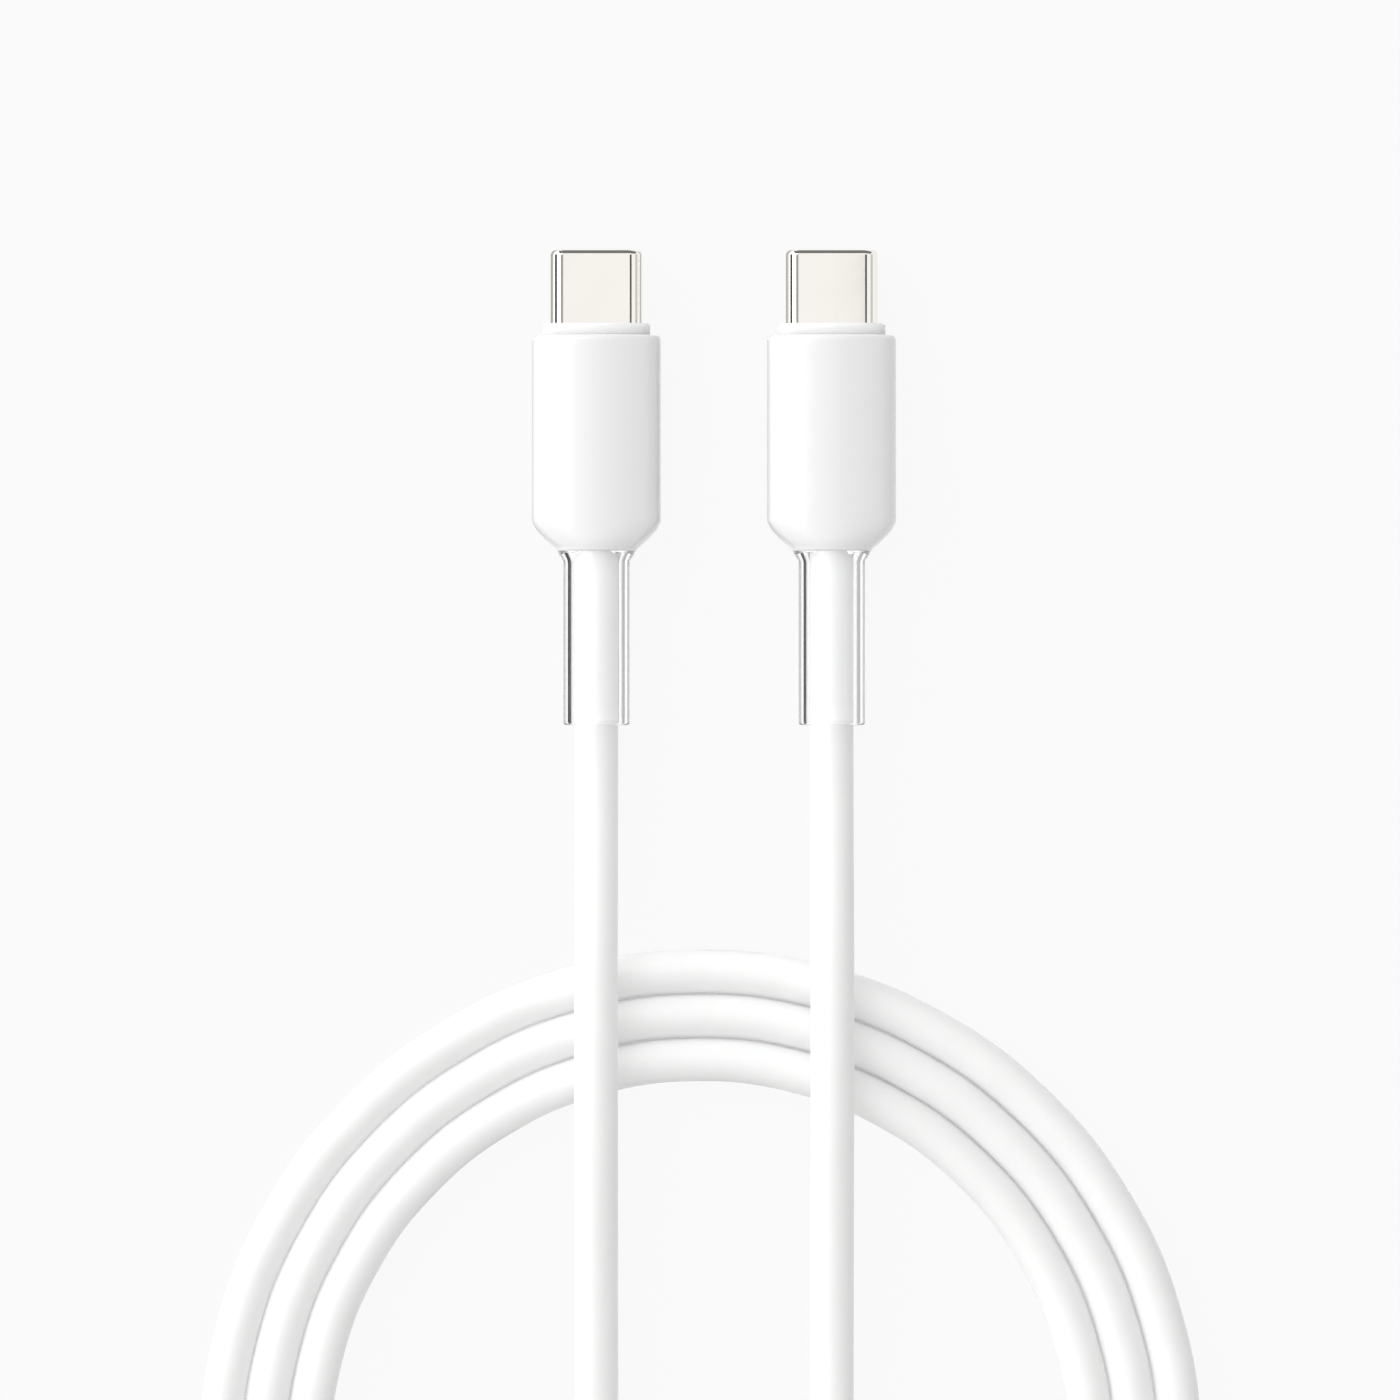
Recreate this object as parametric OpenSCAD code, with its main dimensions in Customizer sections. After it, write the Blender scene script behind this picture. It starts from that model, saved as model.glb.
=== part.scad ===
// Charging cable with a USB-C plug at each end, laid down with its spare length in a flat ring.
// Millimetres, +Z up. The two plugs lie side by side and point along +Y, and the table is z = 0.
// Inside a plug, y = 0 is the front face of its collar, and the tip of the plug is at +Y.

/* [Plug shell] */
// Width of the drawn steel shell
shell_w = 8.25; // [8.15:0.05:8.35]
// Height of the shell
shell_t = 2.4; // [2.35:0.05:2.5]
// Thickness of the shell's sheet
shell_wall = 0.28; // [0.24:0.02:0.3]
// Length of the shell in front of the collar
shell_reach = 6.5; // [6.4:0.05:7]
// Length of the shell held inside the moulded body
shell_root = 6.3; // [5.8:0.1:7]
// Radius of the rounding that draws the shell's mouth in
shell_corner = 0.6; // [0.4:0.05:0.65]

/* [Contact housing] */
// How far the insulator's front lies behind the tip of the shell
mouth_recess = 0.3; // [0.2:0.05:0.4]
// Width of the slot that takes the socket's tongue
tongue_slot_w = 6.7; // [6.5:0.05:6.8]
// Height of that slot
tongue_slot_t = 0.84; // [0.76:0.02:0.92]
// Depth of that slot, from the insulator's front
tongue_slot_depth = 5.3; // [4.9:0.1:5.6]
// Height of the insulator, which leaves room for the grounding springs inside the shell
insulator_t = 1.74; // [1.7:0.02:1.78]
// Distance from one contact to the next
contact_pitch = 0.5; // [0.48:0.01:0.52]
// Width of a contact
contact_w = 0.22; // [0.18:0.02:0.28]
// Thickness of a contact's strip
contact_t = 0.12; // [0.1:0.01:0.14]
// Thickness of the latch plate
latch_t = 0.2; // [0.14:0.02:0.24]
// Thickness of a grounding spring's strip
spring_t = 0.1; // [0.06:0.01:0.12]

/* [Moulded body] */
// Width of the moulded body
body_w = 11.5; // [11:0.1:12.3]
// Thickness of the moulded body
body_t = 6.4; // [6.36:0.02:6.5]
// Radius of the rounded sides of its oval section
side_r = 2.6; // [2.3:0.1:2.8]
// Length of collar and body together
body_len = 20.4; // [19:0.2:24]
// Length of the shoulder, where the body narrows to its rear face
shoulder_len = 2.8; // [2.2:0.1:3.4]
// Width of the body's rear face
rear_w = 7.3; // [7:0.1:8]
// Thickness of the body at its rear face
rear_t = 5.9; // [5.7:0.1:6]
// How far the rounding of the body's front edge steps in
front_edge = 0.3; // [0.1:0.05:0.4]
// Length of that rounding
front_edge_len = 0.5; // [0.2:0.05:0.6]
// Radius of the edge round its rear face
rear_edge = 0.2; // [0.1:0.05:0.3]
// Wall of the body
body_wall = 1; // [0.95:0.01:1.02]
// Thickness of the body's rear wall
rear_wall = 1.6; // [1.2:0.1:2]

/* [Collar] */
// Length of the collar in front of the body
collar_len = 1.05; // [0.7:0.05:1.2]
// How far the collar steps in from the body's outline
collar_step = 0.95; // [0.7:0.05:0.95]
// Length of the collar's spigot inside the body
spigot_len = 1.3; // [1:0.1:1.6]

/* [Inside the body] */
// Thickness of the sheet of the shield cans
can_wall = 0.2; // [0.15:0.01:0.22]
// Width of the paddle card
card_w = 7.4; // [7:0.1:7.8]
// Length of the paddle card
card_len = 7.2; // [6.6:0.2:7.4]
// Thickness of the paddle card
card_t = 0.8; // [0.7:0.05:0.84]
// Diameter of an insulated wire
wire_d = 0.64; // [0.56:0.02:0.66]
// Length of wire that lies on the card
wire_on_card = 1.6; // [1:0.1:2]

/* [Strain relief] */
// Outer diameter of the clear sleeve
sleeve_d = 5.94; // [5.8:0.02:6]
// Length of the clear sleeve behind the body
sleeve_len = 15.5; // [13:0.1:20]
// Width of the flare where the sleeve meets the body
flare_w = 7.1; // [6.9:0.05:7.2]
// Length of the flare
flare_len = 0.95; // [0.7:0.05:1.3]
// Wall of the sleeve
sleeve_wall = 0.6; // [0.5:0.02:0.66]
// How far the cord's fixed end stops inside the mouth of the sleeve
cord_inset = 0.4; // [0.2:0.05:0.8]

/* [Cord] */
// Diameter of the cord
cord_d = 3.95; // [3.8:0.05:4]
// Thickness of the cord's jacket
jacket_wall = 0.75; // [0.7:0.01:0.8]
// Distance from one plug's centre line to the other's
plug_spacing = 21; // [20.5:0.5:22]
// Distance from one turn of the coil to the next
coil_pitch = 3.9; // [3.85:0.05:4.3]
// Radius of the coil's middle turn
coil_r = 38.9; // [38:0.1:40]

/* [Hidden] */
$fn = 48;
PIECES = [
    "shell", "insulator", "contacts_upper", "contacts_lower", "latch_plate", "spring_upper",
    "spring_lower", "collar", "housing", "can_upper", "can_lower", "core", "paddle_card",
    "capacitor", "crimp_ring", "jacket", "wire_power", "wire_ground", "wire_data_plus",
    "wire_data_minus", "wire_control", "sleeve"
];
PLUGS = [["plug_a", -1], ["plug_b", 1]];

// Clearances: between parts that slide together, and between layers inside the body
fit = 0.05;
layer_gap = 0.15;
wire_span = 3;    // free length of the wires between the card and the cord's jacket
crown_steps = 8;  // steps over the crown of the oval section
side_steps = 10;  // steps round each side of it
over = 1;         // how far a cutting shape runs past what it cuts

// Places along the plug, from the collar's front face
tip = shell_reach;
mouth = tip - mouth_recess;
slot_bottom = mouth - tongue_slot_depth;
insulator_back = -(shell_root + 2 * fit);
card_front = insulator_back - layer_gap;
card_back = card_front - card_len;
body_front = -collar_len;
body_back = -body_len;
can_front = body_front - spigot_len - layer_gap;
rear_wall_front = body_back + rear_wall;
jacket_front = card_back - wire_span;
can_back = jacket_front + layer_gap;
sleeve_front = body_back;
sleeve_end = sleeve_front - sleeve_len;
jacket_back = sleeve_end + cord_inset;
plug_len = tip - sleeve_end;
plug_axis_z = body_t / 2;
plug_datum_y = plug_len / 2 - tip;

// Levels above and below the plug's centre plane
shell_inside = shell_t / 2 - shell_wall;
groove_top = 0.66;
groove_bottom = tongue_slot_t / 2 - 0.1;
strip_z = groove_top - fit - contact_t / 2;
card_top = card_t / 2;

// ---- Sections and sweeps ----

// Oval section: a crowned top and bottom that run into round sides of radius r
function oval(w, t, r) =
    let (
        cx = w / 2 - r,
        crown = (cx * cx + t * t / 4 - r * r) / (t - 2 * r),
        lean = asin(cx / (crown - r)),
        side_step = 2 * (90 - lean) / side_steps,
        crown_step = 2 * lean / crown_steps,
        right = [for (i = [0:side_steps])
            let (q = lean - 90 + i * side_step) [cx + r * cos(q), r * sin(q)]],
        top = [for (i = [1:crown_steps - 1])
            let (q = 90 - lean + i * crown_step) [crown * cos(q), t / 2 - crown + crown * sin(q)]]
    )
    concat(right, top, -right, -top);

// The body's own section, set in by g all round
function body_oval(g) = oval(body_w - 2 * g, body_t - 2 * g, side_r - g);

// A solid from outlines [[y, points], ...], all with as many points, from back to front
module loft(rings) {
    n = len(rings[0][1]);
    last = len(rings) - 1;
    points = [for (ring = rings) for (p = ring[1]) [p[0], ring[0], p[1]]];
    walls = [for (k = [0:last - 1]) for (i = [0:n - 1]) let (
        j = (i + 1) % n, a = k * n + i, b = k * n + j, c = a + n, d = b + n
    ) each [[a, b, d], [a, d, c]]];
    back = [[for (i = [0:n - 1]) n - 1 - i]];
    front = [[for (i = [0:n - 1]) last * n + i]];
    polyhedron(points, concat(walls, back, front));
}

// An outline in X and Z, drawn out along Y
module along_y(from, to) translate([0, to, 0]) rotate([90, 0, 0]) linear_extrude(to - from) children();

// A profile of [radius, y] points, turned about the plug's axis
module turned(profile) rotate([-90, 0, 0]) rotate_extrude() polygon(profile);

// A ring about the plug's axis
module ring(from, to, outer_d, inner_d) along_y(from, to) difference() {
    circle(d = outer_d);
    circle(d = inner_d);
}

// A bar with half-round ends
module stadium(w, t) {
    square([w - t, t], center = true);
    for (side = [-1, 1]) translate([side * (w - t) / 2, 0]) circle(d = t);
}

// A flat strip bent along a line of [y, z] points, w wide and t thick, and centred on x
module strip(line, w, t, x) translate([x - w / 2, 0, 0]) rotate([90, 0, 90]) linear_extrude(w)
    polygon(concat(
        [for (p = line) p + [0, t / 2]],
        [for (i = [len(line) - 1:-1:0]) line[i] - [0, t / 2]]
    ));

// The same on the other side of the centre plane
module flipped() mirror([0, 0, 1]) children();

// ---- Plug: metal and contacts ----

// A form with half-round sides, of a profile of [radius, y] points: turned at each side, and drawn
// out straight between them
module oblong(profile) {
    for (side = [-1, 1]) translate([side * (shell_w - shell_t) / 2, 0, 0]) turned(profile);
    rotate([0, -90, 0]) linear_extrude(shell_w - shell_t, center = true)
        for (side = [0, 1]) mirror([side, 0]) polygon(profile);
}

// Seamless drawn shell: its mouth is drawn in over a rounding, which leaves a small lip inside
mouth_turn = 55;    // degrees that the rounding turns through
mouth_lip = 0.08;   // how far the lip stands in from the bore
lip_start = 0.2;    // distance from the tip to where it starts
lip_end = 0.05;     // and to where it has its full height

module shell() color("#d9d4c7") difference() {
    oblong(concat(
        [[0, tip], [0, -shell_root], [shell_t / 2, -shell_root]],
        [for (i = [0:5]) let (q = mouth_turn * i / 5) [
            shell_t / 2 - shell_corner * (1 - cos(q)),
            tip - shell_corner * (sin(mouth_turn) - sin(q))
        ]]
    ));
    oblong([
        [0, tip + over], [0, -shell_root - over], [shell_inside, -shell_root - over],
        [shell_inside, tip - lip_start], [shell_inside - mouth_lip, tip - lip_end],
        [shell_inside - mouth_lip, tip + over]
    ]);
}

// Columns that each row of contacts fills, of the twelve that the socket has
contact_columns = 12;
upper_row = [0, 3, 4, 5, 6, 8, 11];
lower_row = [0, 3, 7, 8, 11];
function column_x(i) = (i - (contact_columns - 1) / 2) * contact_pitch;

// Line of one contact: tail on the card, straight root, then a beam bent in to the touching point
tail_z = card_top + fit + contact_t / 2;
tail_len = 2.3;      // on the card
tail_rise = 0.45;    // from the card's level to the groove's
touch_z = 0.4;       // level of the touching point,
touch_back = 2;      // how far it starts behind the insulator's front
touch_y = mouth - touch_back;
touch_len = 0.3;     // and its length
beam_end = 0.6;      // from there to the beam's end
contact_line = [
    [card_front - tail_len, tail_z], [card_front + fit, tail_z],
    [card_front + fit + tail_rise, strip_z], [slot_bottom, strip_z], [touch_y, touch_z],
    [touch_y + touch_len, touch_z], [touch_y + touch_len + beam_end, strip_z - contact_t / 2]
];

module contact_row(columns)
    for (i = columns) strip(contact_line, contact_w, contact_t, column_x(i));

module contacts_upper() color("#d8b25a") contact_row(upper_row);
module contacts_lower() color("#d8b25a") flipped() contact_row(lower_row);

// Latch plate: a sheet between the rows with a sprung arm and a hook on each side
arm_out = shell_w / 2 - shell_wall - 0.245;  // leaves the arm room to spring outwards
arm_w = 0.35;
arm_in = arm_out - arm_w;
arm_seat = 3.4;                              // of the arm's length behind the tongue's slot
arm_root = slot_bottom - arm_seat;
arm_end = mouth - 0.9;
hook_depth = 0.27;
hook_len = 1.3;
catch_len = 0.3;                             // of the hook's length
plate_w = 2 * arm_in - 1.3;
bridge_len = 1.2;                            // of the sheet between the plate and its arms

function latch_side(g) = [
    [plate_w / 2 + g, insulator_back + 2 * fit - g], [plate_w / 2 + g, arm_root - g],
    [arm_out + g, arm_root - g], [arm_out + g, arm_end + g], [arm_in - g, arm_end + g],
    [arm_in - hook_depth - g, arm_end - catch_len + g],
    [arm_in - hook_depth - g, arm_end - 2 * catch_len - g],
    [arm_in - g, arm_end - hook_len - g], [arm_in - g, arm_root + bridge_len + g],
    [plate_w / 2 + g, arm_root + bridge_len + g], [plate_w / 2 + g, slot_bottom - bridge_len + g]
];

module latch_outline(g) {
    side = latch_side(g);
    polygon(concat(side, [for (i = [len(side) - 1:-1:0]) [-side[i][0], side[i][1]]]));
}

module latch_plate() color("#b9bcc0") translate([0, 0, -latch_t / 2])
    linear_extrude(latch_t) latch_outline(0);

// Grounding spring: a strip between insulator and shell, with dimples through four windows
spring_w = shell_w - shell_t - fit;
spring_len = 2.3;
spring_back = mouth - spring_len;
spring_z = shell_inside - fit / 2 - spring_t / 2;
dimple_y = mouth - 0.55;
dimple_z = tongue_slot_t / 2 - 0.02;
dimple_w = 0.7;
dimple_reach = 0.3;  // from a dimple's middle to the strip before and behind it
dimple_flat = 0.1;   // from its middle to the end of its floor
dimple_pitch = 1.5;
dimple_columns = [for (i = [-1.5:1.5]) i * dimple_pitch];
bar_w = 0.2;         // of the bars between the dimples
bar_reach = 0.4;     // from a dimple's middle to a bar's end
bar_columns = concat(
    [for (i = [-1:1]) i * dimple_pitch], [for (side = [-1, 1]) side * (spring_w - bar_w) / 2]
);
dimple_line = [
    [dimple_y - dimple_reach, spring_z], [dimple_y - dimple_flat, dimple_z],
    [dimple_y + dimple_flat, dimple_z], [dimple_y + dimple_reach, spring_z]
];

module grounding_spring() {
    for (span = [[spring_back, dimple_y - dimple_reach], [dimple_y + dimple_reach, mouth]])
        translate([-spring_w / 2, span[0], spring_z - spring_t / 2])
            cube([spring_w, span[1] - span[0], spring_t]);
    for (x = dimple_columns) strip(dimple_line, dimple_w, spring_t, x);
    for (x = bar_columns) translate([x - bar_w / 2, dimple_y - bar_reach, spring_z - spring_t / 2])
        cube([bar_w, 2 * bar_reach, spring_t]);
}

module spring_upper() color("#c9cbce") grounding_spring();
module spring_lower() color("#c9cbce") flipped() grounding_spring();

// Insulator: fills the shell and holds contacts, latch plate and springs in their own seats
groove_len = touch_y + touch_len + beam_end + layer_gap - insulator_back;

module insulator() color("#2c2d30") difference() {
    along_y(insulator_back, mouth)
        stadium(shell_w - 2 * shell_wall - 2 * fit, insulator_t);
    along_y(slot_bottom, mouth + over) stadium(tongue_slot_w, tongue_slot_t);
    for (side = [0, 1]) mirror([0, 0, side]) {
        for (i = [0:contact_columns - 1])
            translate([column_x(i) - contact_w / 2 - fit, insulator_back - over, groove_bottom])
                cube([contact_w + 2 * fit, groove_len + over, groove_top - groove_bottom]);
        translate([-spring_w / 2 - fit, spring_back - fit, spring_z - spring_t / 2 - fit])
            cube([spring_w + 2 * fit, tongue_slot_depth, 1]);
        for (x = dimple_columns)
            translate([x - dimple_w / 2 - fit, dimple_y - dimple_reach - 2 * fit, 0])
                cube([dimple_w + 2 * fit, 2 * dimple_reach + 4 * fit, 1]);
    }
    translate([0, 0, -latch_t / 2 - fit]) linear_extrude(latch_t + 2 * fit) latch_outline(fit);
}

// ---- Plug: mouldings ----

// Collar: a step in front of the body, with a spigot that closes the body's open front
collar_edge = 0.2;  // rounding of its front edge

module collar() color("#f2f2f0") difference() {
    union() {
        loft([
            [body_front + fit, body_oval(collar_step)],
            [-collar_edge, body_oval(collar_step)],
            [-0.3 * collar_edge, body_oval(collar_step + 0.3 * collar_edge)],
            [0, body_oval(collar_step + collar_edge)]
        ]);
        loft([
            [body_front - spigot_len, body_oval(body_wall + fit)],
            [body_front + 2 * fit, body_oval(body_wall + fit)]
        ]);
    }
    along_y(body_front - spigot_len - over, over) stadium(shell_w + 2 * fit, shell_t + 2 * fit);
}

// Outline of the shoulder: q runs from 0 where it starts to 1 at the rear face
shoulder_steps = 9;
function shoulder_w(q) = rear_w + (body_w - rear_w) * (1 - pow(q, 1.55));
function shoulder_t(q) = rear_t + (body_t - rear_t) * (1 - pow(q, 5));
function shoulder_oval(q, g) =
    oval(shoulder_w(q) - 2 * g, shoulder_t(q) - 2 * g, side_r * shoulder_t(q) / body_t - g);

// Housing: one glossy moulding, open at the front, with a sloping shoulder to its rear face
module housing() color("#f7f7f5") difference() {
    loft(concat(
        [for (i = [0:2]) let (q = 90 - i * 30)
            [body_back + rear_edge * (1 - sin(90 - q)), shoulder_oval(1, rear_edge * (1 - cos(q)))]],
        [for (i = [shoulder_steps:-1:0]) let (q = i / shoulder_steps)
            [body_back + rear_edge + (shoulder_len - rear_edge) * (1 - q), shoulder_oval(q, 0)]],
        [for (i = [0:4]) let (q = i * 22.5)
            [body_front - front_edge_len * (1 - sin(q)), body_oval(front_edge * (1 - cos(q)))]]
    ));
    loft([
        [rear_wall_front, shoulder_oval(1, body_wall)],
        [body_back + shoulder_len, body_oval(body_wall)],
        [body_front + over, body_oval(body_wall)]
    ]);
    along_y(body_back - over, rear_wall_front + over) circle(d = seat_d + 2 * fit);
}

// Clear sleeve: a plain tube with a flare against the body and a spigot through its rear wall
bore_d = sleeve_d - 2 * sleeve_wall;
seat_d = bore_d + 0.56;
lip = 0.25;

module sleeve() color("#e8eef2", 0.45) difference() {
    intersection() {
        turned([
            [0, sleeve_end], [sleeve_d / 2 - lip, sleeve_end], [sleeve_d / 2, sleeve_end + lip],
            [sleeve_d / 2, sleeve_front - flare_len], [flare_w / 2, sleeve_front],
            [seat_d / 2, sleeve_front], [seat_d / 2, rear_wall_front - fit],
            [0, rear_wall_front - fit]
        ]);
        translate([-flare_w, sleeve_end - over, -sleeve_d / 2])
            cube([2 * flare_w, sleeve_len + body_len, sleeve_d]);
    }
    along_y(sleeve_end - over, over) circle(d = bore_d);
}

// ---- Plug: inside the body ----

// One half of the shield can: a drawn half shell with walls at both ends
can_in = body_wall + layer_gap;

module can_half() intersection() {
    difference() {
        loft([[can_back, body_oval(can_in)], [can_front, body_oval(can_in)]]);
        loft([
            [can_back + can_wall, body_oval(can_in + can_wall)],
            [can_front - can_wall, body_oval(can_in + can_wall)]
        ]);
        along_y(-shell_root - fit, can_front + over) stadium(shell_w + 2 * fit, shell_t + 2 * fit);
        along_y(can_back - over, can_back + 2 * can_wall)
            circle(r = wire_ring_r + wire_d / 2 + 2 * fit);
    }
    translate([-body_w, -body_len, fit / 2]) cube([2 * body_w, body_len, body_t]);
}

module can_upper() color("#c4c6c8") can_half();
module can_lower() color("#c4c6c8") flipped() can_half();

// Paddle card: the board that joins contacts to wires, with its front corners notched
notch_w = 0.7;
notch_len = 1.2;

module card_outline(g) {
    translate([-card_w / 2 - g, card_back - g]) square([card_w + 2 * g, card_len - notch_len + 2 * g]);
    translate([-card_w / 2 + notch_w - g, card_back - g])
        square([card_w - 2 * notch_w + 2 * g, card_len + 2 * g]);
}

module card_plate(g) translate([0, 0, -card_top - g]) linear_extrude(card_t + 2 * g) card_outline(g);
module paddle_card() color("#1f6b45") card_plate(0);

// Capacitor between power and ground, with a metal cap at each end
capacitor_w = 1;
capacitor_t = 0.5;
capacitor_y = card_front - card_len / 2;
cap_w = 0.2;
cap_t = capacitor_t + 0.04;

module capacitor_block(g) translate([0, capacitor_y, card_top + fit + capacitor_t / 2]) {
    cube([capacitor_w, capacitor_t, capacitor_t] + 2 * [g, g, g], center = true);
    for (side = [-1, 1]) translate([side * (capacitor_w - 0.8 * cap_w) / 2, 0, 0])
        cube([cap_w, cap_t, cap_t] + 2 * [g, g, g], center = true);
}

module capacitor() color("#b08d5f") capacitor_block(0);

// Wires: each lies in the cord on a ring, spreads out in the can and ends on its own pad. A place
// gives its angle on the ring, its pad's number from the middle and its side of the card
wire_ring_r = 0.74;
wire_z = card_top + fit + wire_d / 2;
pad_pitch = 0.9;
wire_lead = 0.4;  // straight part of a wire before it starts to bend
power = [162, -3, 1];
data_plus = [90, -1, 1];
data_minus = [18, 1, 1];
control = [306, 3, 1];
ground = [234, -1, -1];

function wire_route(place) = let (
    ring_x = wire_ring_r * cos(place[0]), ring_z = wire_ring_r * sin(place[0]),
    pad_x = place[1] * pad_pitch, pad_z = place[2] * wire_z
) [
    [ring_x, jacket_back, ring_z], [ring_x, jacket_front, ring_z],
    [ring_x, can_back + wire_lead, ring_z], [pad_x, card_back - wire_lead, pad_z],
    [pad_x, card_back + 2 * fit, pad_z], [pad_x, card_back + wire_on_card, pad_z]
];

module wire(place) tube(wire_route(place), wire_d, 8);

module wire_power() color("#c0392b") wire(power);
module wire_ground() color("#2b2b2b") wire(ground);
module wire_data_plus() color("#2e8b57") wire(data_plus);
module wire_data_minus() color("#eeeeea") wire(data_minus);
module wire_control() color("#2f5fa8") wire(control);

// Core: the inner moulding inside the can. It holds the card, and is open where the contacts'
// tails and the wires are soldered
core_in = can_in + can_wall + fit;
tails_w = contact_columns * contact_pitch + 4 * fit;
wires_w = 2 * control[1] * pad_pitch + wire_d + 2 * fit;
pocket_len = over + wire_on_card + fit;
pocket_t = wire_z + wire_d / 2 + fit;

module core() color("#e9e6dc") difference() {
    loft([[card_back, body_oval(core_in)], [insulator_back - fit, body_oval(core_in)]]);
    for (back = [0, over]) translate([0, -back, 0]) card_plate(fit);
    translate([-tails_w / 2, card_front - tail_len - fit, -groove_top - fit])
        cube([tails_w, tail_len + 2 * over, 2 * (groove_top + fit)]);
    capacitor_block(fit);
    translate([-wires_w / 2, card_back - over, 0]) cube([wires_w, pocket_len, pocket_t]);
    translate([ground[1] * pad_pitch - wire_d, card_back - over, -pocket_t])
        cube([2 * wire_d, pocket_len, pocket_t]);
}

// Jacket: the fixed end of the cord, through the sleeve and into the body
module jacket() color("#f4f4f2") ring(jacket_back, jacket_front, cord_d, cord_d - 2 * jacket_wall);

// Crimp ring round the jacket, behind the can
crimp_len = 1.9;
crimp_wall = 0.15;
crimp_front = can_back - 2 * layer_gap;

module crimp_ring() color("#c8a24a") ring(
    crimp_front - crimp_len, crimp_front, cord_d + 2 * (fit + crimp_wall), cord_d + 2 * fit
);

// ---- Cord ----

// Route of the run from plug A: straight out, over the ring, down, and round into the coil
lying_z = 1.98;
run_a_points = [
    [-10.5, -20.8, 3.2], [-10.5, -25, 3.2], [-10.5, -30, 3.6], [-10.5, -35, 4.9], [-10.5, -40, 6],
    [-10.5, -44, 6.25], [-10.5, -53, 6.25], [-10.5, -58, 5.9], [-10.5, -64, 4.3], [-10.5, -70, 2.6],
    [-10.5, -76, lying_z], [-10.5, -86, lying_z], [-10.5, -96, lying_z], [-10.4, -103.5, lying_z],
    [-9.5, -108.1, lying_z], [-6.2, -113.6, lying_z], [-1.1, -117.4, lying_z], [5, -119.1, lying_z],
    [11.4, -118.3, lying_z]
];

// Route of the run to plug B: up over the coil's turns and the other run, then back over the ring
run_b_points = [
    [-41.6, -100.7, 2.4], [-38.6, -107.6, 3.1], [-34.3, -113.8, 4.1], [-28.9, -119, 5.1],
    [-22.6, -123.2, 5.8], [-16.7, -125.9, 6.2], [-11.2, -127.1, 6.25], [-6, -126.9, 6.25],
    [-1, -125.3, 6.25], [3.4, -122.5, 6.25], [6.9, -118.7, 6.25], [9.3, -114, 6.25],
    [10.4, -108.9, 6.2], [10.5, -103, 5.4], [10.5, -97, 3.7], [10.5, -91, 2.3], [10.5, -85, lying_z],
    [10.5, -76, lying_z], [10.5, -70, 2.6], [10.5, -64, 4.3], [10.5, -58, 5.9], [10.5, -53, 6.25],
    [10.5, -44, 6.25], [10.5, -40, 6], [10.5, -35, 4.9], [10.5, -30, 3.6], [10.5, -25, 3.2],
    [10.5, -20.8, 3.2]
];

// Coil: flat turns that keep their radius over the far half and step out one pitch in the near half
coil_centre = [-1.2, -86];
coil_from = -44;
coil_step = 15;
coil_count = 63;
coil_to = coil_from + coil_count * coil_step;
coil_inner_r = coil_r - coil_pitch;
step_from = 190;
step_to = 300;
lead_in = 0.9;  // how much tighter the first turn starts

function ease(q) = let (c = min(1, max(0, q))) c * c * (3 - 2 * c);
function turns_out(u) = u < step_from ? 0
    : floor(u / 360) + ease((u - 360 * floor(u / 360) - step_from) / (step_to - step_from));
function coil_radius(u) =
    coil_inner_r + coil_pitch * turns_out(u) - (u < 0 ? lead_in * pow(u / coil_from, 2) : 0);
function coil_point(u) = [
    coil_centre[0] + coil_radius(u) * cos(u), coil_centre[1] + coil_radius(u) * sin(u), lying_z
];
function coil_way(u) = let (v = coil_point(u + 0.1) - coil_point(u - 0.1)) v / norm(v);

coil_start_way = coil_way(coil_from);
coil_end_way = coil_way(coil_to);
coil_start = coil_point(coil_from) - cord_d * coil_start_way;
coil_end = coil_point(coil_to) + cord_d * coil_end_way;
coil_points = concat(
    [coil_start],
    [for (i = [0:coil_count]) coil_point(coil_from + i * coil_step)],
    [coil_end]
);
run_a = concat(run_a_points, [coil_start - cord_d * coil_start_way, coil_start]);
run_b = concat([coil_end, coil_end + cord_d * coil_end_way], run_b_points);

// Direction of a route at its point i, and the ring of sides points round it
function way(route, i) =
    let (v = route[min(i + 1, len(route) - 1)] - route[max(i - 1, 0)]) v / norm(v);
function tube_ring(route, i, d, sides) =
    let (w = way(route, i), across = cross(w, [0, 0, 1]), x = across / norm(across), z = cross(x, w))
    [for (k = [0:sides - 1]) let (q = (k + 0.5) * 360 / sides)
        route[i] + d / 2 * (cos(q) * x + sin(q) * z)];

// One unbroken tube along a route, of triangles
module tube(route, d, sides) {
    last = len(route) - 1;
    walls = [for (i = [0:last - 1]) for (k = [0:sides - 1]) let (
        m = (k + 1) % sides, a = i * sides + k, b = i * sides + m, c = a + sides, e = b + sides
    ) each [[a, e, b], [a, c, e]]];
    near_end = [for (k = [1:sides - 2]) [0, k, k + 1]];
    far_end = [for (k = [1:sides - 2]) [last * sides, last * sides + k + 1, last * sides + k]];
    points = [for (i = [0:last]) each tube_ring(route, i, d, sides)];
    polyhedron(points, concat(walls, near_end, far_end));
}

run_sides = 8;
coil_sides = 6;

module cord_run_a() color("#f6f6f4") tube(run_a, cord_d, run_sides);
module cord_run_b() color("#f6f6f4") tube(run_b, cord_d, run_sides);
module cord_coil() color("#efefec") tube(coil_points, cord_d, coil_sides);

// Least gap of the coil to itself, between the points of rings that lie over half a turn apart
half_turn = floor(180 / coil_step);
coil_skin = [for (i = [0:len(coil_points) - 1]) tube_ring(coil_points, i, cord_d, coil_sides)];
coil_gap = min([for (i = [0:len(coil_skin) - 1]) for (j = [i + half_turn:1:len(coil_skin) - 1])
    for (p = coil_skin[i]) for (q = coil_skin[j]) norm(p - q)]);
echo(least_gap_of_the_coil_to_itself_mm = coil_gap);

// ---- The object ----

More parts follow.
